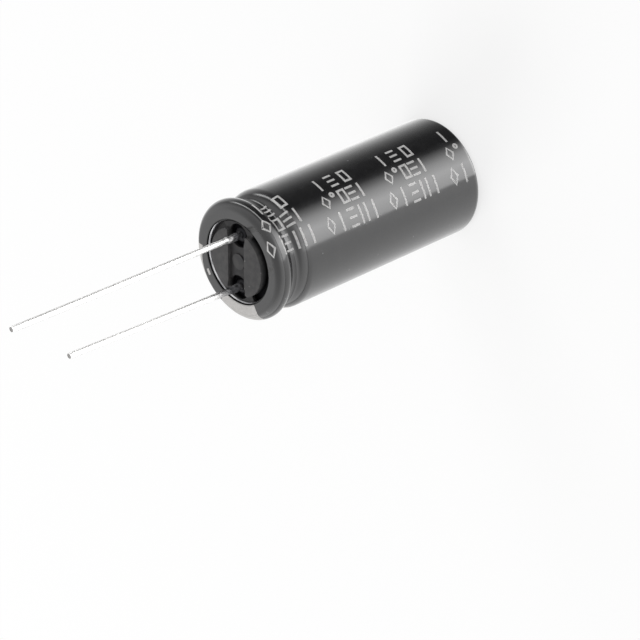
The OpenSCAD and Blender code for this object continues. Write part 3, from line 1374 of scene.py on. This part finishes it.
@dataclass
class RubberSeal:
    """Moulded seal with two D-shaped pads, crescent pockets, a middle boss and lead recesses."""

    outline: CrimpedOutline
    bottom_z: float
    top_z: float
    lead_x: float
    wall: float = 0.35
    gap: float = 0.02
    chamfer: float = 0.4
    pad_h: float = 0.55
    land_h: float = 0.7
    pocket_w: float = 0.8
    pocket_span: float = 120.0
    channel_w: float = 3.0
    pad_corner_r: float = 0.5
    recess_d: float = 3.3
    recess_depth: float = 0.6
    boss_d: float = 2.2
    boss_h: float = 0.18
    shank_hole_d: float = 2.14
    root: float = 0.2
    edge_round: float = 0.06
    edge_angle: float = 35.0
    edge_clear: float = 0.1
    edge_steps: int = 3
    bend_steps: int = 10
    turn_steps: int = 120
    arc_steps: int = 48
    recess_steps: int = 64
    pad_steps: tuple[int, int, int] = (8, 44, 8)

    def __post_init__(self) -> None:
        """Works out the levels from the top of the pads down."""
        self.land_z = self.top_z - self.pad_h
        self.pocket_z = self.land_z - self.land_h
        self.recess_z = self.land_z - self.recess_depth
        self.pad_r = self.outline.lip_r - self.pocket_w

    def body(self) -> Shape:
        """Turns the body, squeezed into the bead, with a groove for the can's lip.

        Returns:
            The body.
        """
        out = -(self.wall + self.gap)
        side_r = self.outline.can_r + out
        plug_r = self.outline.lip_r - self.gap
        points = [(0.0, self.bottom_z), (side_r - self.chamfer, self.bottom_z)]
        points.append((side_r, self.bottom_z + self.chamfer))
        for stretch in self.outline.crimped_part(90.0):
            steps = self.bend_steps if isinstance(stretch, Bend) else 1
            first = 1 if points[-1] == stretch.at(0.0, out) else 0
            points += [stretch.at(i / steps, out) for i in range(first, steps + 1)]
        groove_z = self.outline.lip_z - self.gap
        points += [(self.outline.lip_r - out, groove_z), (plug_r, groove_z)]
        points += [(plug_r, self.land_z), (0.0, self.land_z)]
        return spun(profile(points, closed=False), self.turn_steps)

    def pocket(self, side: float) -> Shape:
        """A cutter for the crescent pocket beside one pad.

        Args:
            side: Direction of the pocket in degrees.

        Returns:
            The cutter.
        """
        shape = bmesh.new()
        low, high = self.pocket_z, self.land_z + self.root
        inner, outer = self.pad_r - self.root, self.outline.lip_r + self.wall / 2.0
        corners = ((inner, low), (outer, low), (outer, high), (inner, high))
        face = shape.faces.new([shape.verts.new((radius, 0.0, height)) for radius, height in corners])
        start = Matrix.Rotation(math.radians(side - self.pocket_span / 2.0), 4, "Z")
        bmesh.ops.transform(shape, matrix=start, verts=shape.verts)
        bmesh.ops.spin(
            shape,
            geom=[face, *face.edges, *face.verts],
            cent=(0.0, 0.0, 0.0),
            axis=(0.0, 0.0, 1.0),
            angle=math.radians(self.pocket_span),
            steps=self.arc_steps,
        )
        bmesh.ops.recalc_face_normals(shape, faces=shape.faces)
        return shape

    def pad_outline(self) -> list[Point]:
        """Draws one pad: a chord beside the channel and an arc beside the pocket.

        Returns:
            The pad's corners.
        """
        corner_y = self.channel_w / 2.0 + self.pad_corner_r
        corner_x = math.sqrt((self.pad_r - self.pad_corner_r) ** 2 - corner_y**2)
        side = math.degrees(math.atan2(corner_y, corner_x))
        bends = [
            Bend((corner_x, corner_y), self.pad_corner_r, -90.0, side),
            Bend((0.0, 0.0), self.pad_r, side, 180.0 - side),
            Bend((-corner_x, corner_y), self.pad_corner_r, 180.0 - side, 270.0),
        ]
        points = []
        for bend, count in zip(bends, self.pad_steps):
            points += [bend.at((i + 0.5) / count, 0.0) for i in range(count)]
        return points

    def pad(self, side: float) -> Shape:
        """One D-shaped pad.

        Args:
            side: Angle in degrees through which the pad is turned.

        Returns:
            A closed block.
        """
        shape = bmesh.new()
        foot = self.pocket_z - self.root
        face = shape.faces.new([shape.verts.new((x, y, foot)) for x, y in self.pad_outline()])
        made = bmesh.ops.extrude_face_region(shape, geom=[face], use_keep_orig=True)
        raised = [item for item in made["geom"] if isinstance(item, bmesh.types.BMVert)]
        bmesh.ops.translate(shape, vec=(0.0, 0.0, self.top_z - foot), verts=raised)
        bmesh.ops.transform(shape, matrix=Matrix.Rotation(math.radians(side), 4, "Z"), verts=shape.verts)
        bmesh.ops.recalc_face_normals(shape, faces=shape.faces)
        return shape

    def plug(self, x: float, diameter: float, low: float, high: float, steps: int) -> Shape:
        """An upright round block.

        Args:
            x: Where its axis lies along X.
            diameter: Its diameter.
            low: Height of its lower end.
            high: Height of its upper end.
            steps: Steps round it.

        Returns:
            A closed block.
        """
        shape = bmesh.new()
        place = Matrix.Translation((x, 0.0, (low + high) / 2.0))
        bmesh.ops.create_cone(
            shape,
            cap_ends=True,
            segments=steps,
            radius1=diameter / 2.0,
            radius2=diameter / 2.0,
            depth=high - low,
            matrix=place,
        )
        return shape

    def build(self, material: bpy.types.Material) -> bpy.types.Object:
        """Joins the raised forms to the body, cuts the recesses and rounds the edges.

        Args:
            material: Its finish.

        Returns:
            The piece.
        """
        shape = self.body()
        for side in (90.0, 270.0):
            shape = carved(shape, self.pocket(side), Carving.CUT)
        for side in (0.0, 180.0):
            shape = carved(shape, self.pad(side), Carving.JOIN)
        boss_low, boss_high = self.land_z - self.root, self.land_z + self.boss_h
        boss = self.plug(0.0, self.boss_d, boss_low, boss_high, self.arc_steps)
        shape = carved(shape, boss, Carving.JOIN)
        for x in (-self.lead_x, self.lead_x):
            recess_high = self.top_z + self.root
            recess = self.plug(x, self.recess_d, self.recess_z, recess_high, self.recess_steps)
            shape = carved(shape, recess, Carving.CUT)
            hole_low, hole_high = self.bottom_z - self.root, self.recess_z + self.root
            hole = self.plug(x, self.shank_hole_d, hole_low, hole_high, self.arc_steps)
            shape = carved(shape, hole, Carving.CUT)
        bmesh.ops.remove_doubles(shape, verts=shape.verts, dist=CUT_SEAM)
        edges = [
            edge
            for edge in shape.edges
            if len(edge.link_faces) == 2
            and edge.calc_face_angle() > math.radians(self.edge_angle)
            and min(corner.co.z for corner in edge.verts) > self.recess_z + self.edge_clear
            and max(math.hypot(corner.co.x, corner.co.y) for corner in edge.verts) < self.outline.lip_r
        ]
        bmesh.ops.bevel(
            shape,
            geom=edges,
            offset=self.edge_round,
            offset_type="OFFSET",
            segments=self.edge_steps,
            profile=0.5,
            affect="EDGES",
            clamp_overlap=True,
            material=-1,
        )
        return finished("rubber_seal_moulded", shape, material, "rubber_seal", sharp=30.0)


@dataclass
class Lead:
    """Tinned wire, with the lumpy weld at its foot and a sheared tip."""

    name: str
    node: str
    foot: Vector
    direction: Vector
    length: float
    seed: float
    wire_r: float = 0.4
    collar_r: float = 0.55
    collar_h: float = 0.2
    weld_h: float = 2.8
    taper_h: float = 0.9
    weld_swell: float = 0.07
    lump: float = 0.038
    wave: float = 0.035
    tip_round: float = 0.05
    pinch: float = 0.10
    pinch_spread: float = 0.2
    pinch_h: float = 0.7
    collar_taper: float = 0.03
    lump_scale: Point = (2.6, 1.7)
    lump_gain: float = 2.2
    fine_lump: float = 0.04
    fine_scale: float = 4.1
    lump_fades: Point = (0.25, 0.5)
    wave_turns: Point = (3.7, 2.9)
    tip_cut: float = 0.3
    segments: int = 40
    weld_steps: int = 44
    wire_steps: int = 46

    def girth(self, height: float) -> float:
        """Radius of the lead at a height above its foot.

        Args:
            height: Distance from the foot.

        Returns:
            The radius, before any lumps.
        """
        neck_z = self.weld_h - self.taper_h
        neck_r = self.wire_r + self.weld_swell
        if height <= self.collar_h:
            return self.collar_r
        if height <= neck_z:
            share = (height - self.collar_h) / (neck_z - self.collar_h)
            drop = neck_r - self.collar_r + self.collar_taper
            return self.collar_r - self.collar_taper + drop * share
        share = smooth_step(neck_z, self.weld_h, height)
        return neck_r + (self.wire_r - neck_r) * share

    def build(self, material: bpy.types.Material) -> bpy.types.Object:
        """Turns the lead upright, roughens its weld, shears its tip and leans it.

        Args:
            material: Its finish.

        Returns:
            The piece.
        """
        heights = [self.weld_h * i / self.weld_steps for i in range(self.weld_steps + 1)]
        wire_h = self.length - self.tip_round - self.weld_h
        heights += [self.weld_h + wire_h * (i + 1) / self.wire_steps for i in range(self.wire_steps)]
        points = [(0.0, 0.0)] + [(self.girth(height), height) for height in heights]
        cut = self.tip_cut * self.tip_round
        points += [(self.wire_r - cut, self.length - cut)]
        points += [(self.wire_r - self.tip_round, self.length), (0.0, self.length)]
        shape = spun(profile(points, closed=False), self.segments)
        for corner in shape.verts:
            self.roughen(corner)
        lean = Vector((0.0, 0.0, 1.0)).rotation_difference(self.direction).to_matrix().to_4x4()
        bmesh.ops.transform(shape, matrix=Matrix.Translation(self.foot) @ lean, verts=shape.verts)
        return finished(self.name, shape, material, self.node, sharp=50.0)

    def roughen(self, corner: bmesh.types.BMVert) -> None:
        """Moves a point of the upright lead: lumps on the weld, a slight wave, a sheared tip.

        Args:
            corner: The point.
        """
        height = corner.co.z
        low_fade, high_fade = self.lump_fades
        on_weld = smooth_step(0.0, low_fade, height)
        on_weld *= 1.0 - smooth_step(self.weld_h - high_fade, self.weld_h, height)
        across, down = self.lump_scale
        spot = Vector((across * corner.co.x, across * corner.co.y, down * height))
        spot += Vector((self.seed,) * 3)
        swell = 1.0 + on_weld * (self.lump / self.wire_r) * self.lump_gain * noise.noise(spot)
        fine = 1.0 + on_weld * self.fine_lump * noise.noise(spot * self.fine_scale)
        near_tip = smooth_step(self.length - self.pinch_h, self.length, height)
        corner.co.x *= swell * fine * (1.0 - self.pinch * near_tip)
        corner.co.y *= swell * fine * (1.0 + self.pinch_spread * self.pinch * near_tip)
        share = max(0.0, (height - self.weld_h) / (self.length - self.weld_h))
        bow = self.wave * math.sin(math.pi * share)
        x_turns, y_turns = self.wave_turns
        corner.co.x += bow * math.sin(x_turns * share + self.seed)
        corner.co.y += bow * math.cos(y_turns * share + self.seed)


@dataclass(frozen=True)
class Glow:
    """A bright patch of the studio's walls: where it stands, how high, and how bright it is."""

    angles: Point
    heights: Point
    level: float


@dataclass(frozen=True)
class Softbox:
    """A square lamp: where it hangs and its side, in millimetres, and its power in watts."""

    name: str
    place: Triple
    size: float
    power: float


@dataclass
class Studio:
    """Plain pale floor, white surround, soft lamps, and a card on the floor that only gloss sees."""

    can_r: float
    view_azimuth: float
    floor_half: float = 2500.0
    floor_grains: float = 40.0
    floor_greys: Point = (0.80, 0.82)
    shadow_grey: float = 0.3
    floor_glow: float = 0.72
    ambient: float = 0.62
    wall_share: float = 0.6
    ceiling_level: float = 1.5
    overhead_level: float = 1.15
    ceiling_ends: Point = (0.15, 0.55)
    overhead_ends: Point = (0.6, 0.95)
    glow_fade: float = 8.0
    glow_foot: float = 0.12
    glows: tuple[Glow, ...] = (
        Glow((-30.0, -3.0), (0.05, 0.20), 8.0),
        Glow((-128.0, -66.0), (0.10, 0.75), 1.6),
    )
    softboxes: tuple[Softbox, ...] = (
        Softbox("key_softbox", (-520.0, 260.0, 760.0), 420.0, 2.4),
        Softbox("fill_softbox", (640.0, 420.0, 520.0), 380.0, 1.0),
    )
    lamp_aim_z: float = 20.0
    card_reach: float = 500.0
    card_lift: float = 0.04
    card_first: float = -142.0
    card_last: float = 34.0
    card_steps: tuple[int, int] = (176, 12)
    card_level: float = 6.6
    levels: tuple[Point, ...] = (
        (-142.0, 1.0),
        (-128.0, 1.33),
        (-104.0, 1.6),
        (-80.0, 1.85),
        (-68.9, 2.2),
        (-67.3, 5.2),
        (-60.0, 6.0),
        (-54.0, 6.6),
        (-44.0, 4.2),
        (-38.0, 2.0),
        (-32.0, 0.33),
        (-27.0, 0.12),
        (-14.0, 0.16),
        (-6.0, 0.38),
        (2.0, 0.8),
        (10.0, 1.37),
        (18.0, 1.72),
        (26.0, 1.8),
        (34.0, 1.1),
    )

    def floor(self) -> None:
        """Lays the floor. Seen directly or in a reflection it is near white, with its shadow."""
        shape = bmesh.new()
        bmesh.ops.create_grid(shape, x_segments=1, y_segments=1, size=self.floor_half)
        floor = self.stand("floor", shape)
        material, sheet = new_material("pale_floor")
        seen = self.seen(sheet)
        place = sheet.add("TexCoord", {}).outputs["Object"]
        mottle = sheet.spread(sheet.noise(place, self.floor_grains, 2.0), *NOISE_ENDS, 0.0, 1.0)
        dark, pale = (grey(level) for level in self.floor_greys)
        matte = sheet.add("BsdfDiffuse", {"Color": sheet.blend(mottle, dark, pale)})
        shaded = sheet.add("BsdfDiffuse", {"Color": grey(self.shadow_grey)})
        glow = sheet.add("Emission", {"Color": grey(1.0), "Strength": self.floor_glow})
        both = sheet.add("AddShader", {0: shaded.outputs[0], 1: glow.outputs[0]})
        mixed = sheet.add("MixShader", {0: seen, 1: matte.outputs[0], 2: both.outputs[0]})
        sheet.add("OutputMaterial", {"Surface": mixed.outputs[0]})
        material.cycles.emission_sampling = "NONE"
        floor.data.materials.append(material)

    def seen(self, sheet: NodeSheet) -> Socket:
        """Adds a mask for what the camera sees, directly, in gloss or through glass.

        Args:
            sheet: The nodes that it is added to.

        Returns:
            The mask, which is 1 there and 0 elsewhere.
        """
        path = sheet.add("LightPath", {})
        seen = sheet.math("MAXIMUM", path.outputs["Is Camera Ray"], path.outputs["Is Glossy Ray"])
        return sheet.math("MAXIMUM", seen, path.outputs["Is Transmission Ray"])

    def stand(self, name: str, shape: Shape) -> bpy.types.Object:
        """Turns a shape into an object of the scene, such as the floor or the card.

        Args:
            name: Its name.
            shape: Its shape in millimetres. It is used up.

        Returns:
            The new object.
        """
        thing = linked(name, shape)
        return thing

    def reflector(self) -> None:
        """Lays the card: spokes that each point of the can's side mirrors towards the viewer."""
        shape = bmesh.new()
        x_steps, y_steps = self.card_steps
        bmesh.ops.create_grid(shape, x_segments=x_steps, y_segments=y_steps, size=0.5)
        shape.loops.layers.uv.new("spokes")
        spokes = shape.loops.layers.uv.active
        for face in shape.faces:
            for loop in face.loops:
                loop[spokes].uv = (loop.vert.co.x + 0.5, loop.vert.co.y + 0.5)
        for corner in shape.verts:
            share = corner.co.x + 0.5
            facing = math.radians(self.card_first + (self.card_last - self.card_first) * share)
            away = 2.0 * facing - math.radians(self.view_azimuth)
            reach = self.card_reach * (corner.co.y + 0.5) ** 2
            x = self.can_r * math.cos(facing) + reach * math.cos(away)
            y = self.can_r * math.sin(facing) + reach * math.sin(away)
            corner.co = Vector((x, y, self.card_lift))
        card = self.stand("reflector_card", shape)
        for ray in ("camera", "diffuse", "transmission", "volume_scatter", "shadow"):
            setattr(card, "visible_" + ray, False)
        material, sheet = new_material("reflector_card")
        where = sheet.add("UVMap", {}, uv_map="spokes")
        shades = self.shades(sheet, sheet.axis(where.outputs["UV"], "X"))
        glow = sheet.add("Emission", {"Color": shades, "Strength": self.card_level})
        sheet.add("OutputMaterial", {"Surface": glow.outputs[0]})
        material.cycles.emission_sampling = "NONE"
        card.data.materials.append(material)

    def shades(self, sheet: NodeSheet, share: Socket) -> Socket:
        """Adds the levels as a ramp.

        Args:
            sheet: The nodes that it is added to.
            share: Where the ramp is read, from the first to the last facing angle.

        Returns:
            The level as a share of the brightest.
        """
        ramp = sheet.add("ValToRGB", {"Fac": share})
        stops = ramp.color_ramp.elements
        span = self.card_last - self.card_first
        for index, (angle, level) in enumerate(self.levels):
            position = (angle - self.card_first) / span
            stop = stops[index] if index < 2 else stops.new(position)
            stop.position = position
            stop.color = grey(level / self.card_level)
        return ramp.outputs["Color"]

    def surround(self) -> None:
        """Makes the world white where it is seen, and soft and plain where it lights."""
        world = bpy.data.worlds.new("studio")
        bpy.context.scene.world = world
        world.use_nodes = True
        world.node_tree.nodes.clear()
        sheet = NodeSheet(world.node_tree)
        path = sheet.add("LightPath", {})
        direction = sheet.add("TexCoord", {}).outputs["Generated"]
        parts = sheet.add("SeparateXYZ", {"Vector": direction})
        turned = sheet.math("ARCTAN2", parts.outputs["Y"], parts.outputs["X"])
        facing = sheet.multiply_add(turned, 0.5, math.radians(self.view_azimuth) / 2.0)
        first, last = math.radians(self.card_first), math.radians(self.card_last)
        ends = {0: facing, 1: last, 2: last - math.pi}
        wrapped = sheet.add("Math", ends, operation="WRAP").outputs[0]
        share = sheet.spread(wrapped, first, last, 0.0, 1.0)
        wall = sheet.math("MULTIPLY", self.shades(sheet, share), self.card_level * self.wall_share)
        height = parts.outputs["Z"]
        above = sheet.spread(height, *self.ceiling_ends, 0.0, 1.0)
        levels = (self.ceiling_level, self.overhead_level)
        overhead = sheet.spread(height, *self.overhead_ends, *levels)
        from_wall = sheet.math("MULTIPLY", wall, sheet.math("SUBTRACT", 1.0, above))
        ceiling = sheet.math("ADD", from_wall, sheet.math("MULTIPLY", overhead, above))
        for glow in self.glows:
            patch = self.glow_share(sheet, glow, wrapped, height)
            ceiling = sheet.math("ADD", ceiling, sheet.math("MULTIPLY", patch, glow.level))
        plain = sheet.spread(self.seen(sheet), 0.0, 1.0, self.ambient, 1.0)
        glossy = path.outputs["Is Glossy Ray"]
        reflected = sheet.math("MULTIPLY", ceiling, glossy)
        direct = sheet.math("MULTIPLY", plain, sheet.math("SUBTRACT", 1.0, glossy))
        strength = sheet.math("ADD", reflected, direct)
        sky = sheet.add("Background", {"Color": grey(1.0), "Strength": strength})
        sheet.add("OutputWorld", {"Surface": sky.outputs[0]})

    def glow_share(self, sheet: NodeSheet, glow: Glow, facing: Socket, height: Socket) -> Socket:
        """Adds the mask of a bright patch.

        Args:
            sheet: The nodes that it is added to.
            glow: The patch.
            facing: Facing angle in radians.
            height: Height on the sphere of directions, from -1 to 1.

        Returns:
            A share that fades out sideways and upwards.
        """
        fade = math.radians(self.glow_fade)
        first, last = (math.radians(angle) for angle in glow.angles)
        rise = sheet.spread(facing, first - fade, first, 0.0, 1.0)
        fall = sheet.spread(facing, last, last + fade, 1.0, 0.0)
        level = sheet.spread(height, *glow.heights, 1.0, 0.0)
        foot = glow.heights[0]
        above = sheet.spread(height, foot - self.glow_foot, foot, 0.0, 1.0)
        upright = sheet.math("MULTIPLY", level, above)
        return sheet.math("MULTIPLY", upright, sheet.math("MULTIPLY", rise, fall))

    def hang(self, softbox: Softbox) -> None:
        """Hangs a softbox that faces the part.

        Args:
            softbox: The softbox.
        """
        data = bpy.data.lights.new(softbox.name, "AREA")
        data.shape = "SQUARE"
        data.size = softbox.size * MM
        data.energy = softbox.power
        lamp = bpy.data.objects.new(softbox.name, data)
        lamp.visible_glossy = False
        lamp.location = Vector(softbox.place) * MM
        aim = Vector((0.0, 0.0, self.lamp_aim_z * MM)) - lamp.location
        lamp.rotation_euler = aim.to_track_quat("-Z", "Y").to_euler()
        bpy.context.scene.collection.objects.link(lamp)

    def build(self) -> None:
        """Builds the stage and the lamps."""
        self.floor()
        self.reflector()
        self.surround()
        for softbox in self.softboxes:
            self.hang(softbox)


@dataclass
class Viewpoint:
    """The photograph's viewpoint: high, from the positive side, with the camera rolled over."""

    azimuth: float = 37.46
    elevation: float = 37.13
    roll: float = -114.66
    aim: Triple = (-11.12, -3.88, 25.6)
    distance: float = 470.0
    lens: float = 201.5
    sensor_w: float = 36.0
    clip: Point = (0.01, 20.0)

    def back(self) -> Vector:
        """Finds the direction from what the camera looks at to the camera.

        Returns:
            The direction, one unit long.
        """
        turn, tilt = math.radians(self.azimuth), math.radians(self.elevation)
        level = math.cos(tilt)
        return Vector((math.sin(turn) * level, -math.cos(turn) * level, math.sin(tilt)))

    def place(self) -> Vector:
        """Where the camera is, in millimetres."""
        return Vector(self.aim) + self.back() * self.distance

    def side(self) -> float:
        """Angle in degrees, round the can, from which the camera sees it."""
        place = self.place()
        return math.degrees(math.atan2(place.y, place.x))

    def build(self) -> None:
        """Places the camera."""
        data = bpy.data.cameras.new("camera")
        data.lens = self.lens
        data.sensor_width = self.sensor_w
        data.clip_start, data.clip_end = self.clip
        camera = bpy.data.objects.new("camera", data)
        bpy.context.scene.collection.objects.link(camera)
        look = (-self.back()).to_track_quat("-Z", "Y").to_matrix().to_4x4()
        roll = Matrix.Rotation(math.radians(self.roll), 4, "Z")
        camera.matrix_world = Matrix.Translation(self.place() * MM) @ look @ roll
        bpy.context.scene.camera = camera


def dress(node: str, material: bpy.types.Material) -> None:
    """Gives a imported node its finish.

    Args:
        node: The node's name.
        material: The finish.
    """
    piece = frame["nodes"][node]
    for slot in piece.material_slots:
        slot.material = material
    LOG.info("%s: keeps its packed shape", node)


def lead_from_record(name: str, node: str, mount_name: str, seed: float) -> Lead:
    """Reads where a lead runs from its pin mount in the record.

    Args:
        name: The piece's name.
        node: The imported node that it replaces.
        mount_name: The lead's mount.
        seed: What sets this lead's lumps apart from the other's.

    Returns:
        The lead.
    """
    mount = next(m for m in frame["record"]["mounts"] if m["name"] == mount_name)
    direction = Vector(mount["axis"]).normalized()
    middle = Vector(mount["pos_m"]) / MM
    foot_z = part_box(node)[0].z / MM
    foot = middle - direction * ((middle.z - foot_z) / direction.z)
    tip = middle + direction * mount["dims"]["length_mm"] / 2.0
    return Lead(name, node, foot, direction, (tip - foot).length, seed)


def main() -> None:
    """Builds the camera, the stage and every piece, in that order."""
    logging.basicConfig(level=logging.INFO, format="%(message)s")
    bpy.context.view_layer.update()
    scene = bpy.context.scene
    scene.view_settings.view_transform = "Standard"

    viewpoint = Viewpoint()
    viewpoint.build()
    can_low, can_high = (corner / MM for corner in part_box("can"))
    outline = CrimpedOutline(round(can_high.x, 2), round(can_low.z, 2), round(can_high.z, 2))
    Studio(outline.can_r, viewpoint.side()).build()

    effects = SharedEffects()
    sleeve = ShrunkSleeve(outline)
    sleeve.build(FilmFinish().build(effects))
    SidePrint(sleeve).build(InkFinish().build(effects))
    silver = InkFinish(
        "silver_ink", colour=(0.56, 0.545, 0.53), thin_colour=(0.43, 0.42, 0.41), grains=7.0
    )
    PolarityStripe(sleeve).build(silver.build(effects))

    seal_low, seal_high = (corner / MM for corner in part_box("rubber_seal"))
    tab_low, tab_high = (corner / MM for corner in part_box("tab_positive"))
    lead_x = round((tab_low.x + tab_high.x) / 2.0, 2)
    RubberSeal(outline, seal_low.z, seal_high.z, lead_x).build(RubberFinish().build(effects))

    bright = WireFinish().build(effects)
    lead_from_record("wire_positive", "lead_positive", "positive_lead", 1.3).build(bright)
    darkened = WireFinish("tinned_wire_sooty", weld_top=39.0, weld_fade=3.0)
    lead_from_record("wire_negative", "lead_negative", "negative_lead", 7.9).build(darkened.build(effects))

    dress("can", AluminiumFinish().build(effects))
    # The tabs get painted shade towards their tops, which sit in the seal's recesses.
    pressed = AluminiumFinish(
        "pressed_aluminium", colour=(0.46, 0.46, 0.47), roughness=0.5, stain=(0.22, 0.22, 0.23), darkened=True
    )
    tab_metal = pressed.build(effects)
    for tab in ("tab_positive", "tab_negative"):
        dress(tab, tab_metal)
    dress("wound_element", RollFinish().build(effects))
    dress("closing_tape", TapeFinish().build(effects))


if __name__ == "__main__":
    main()
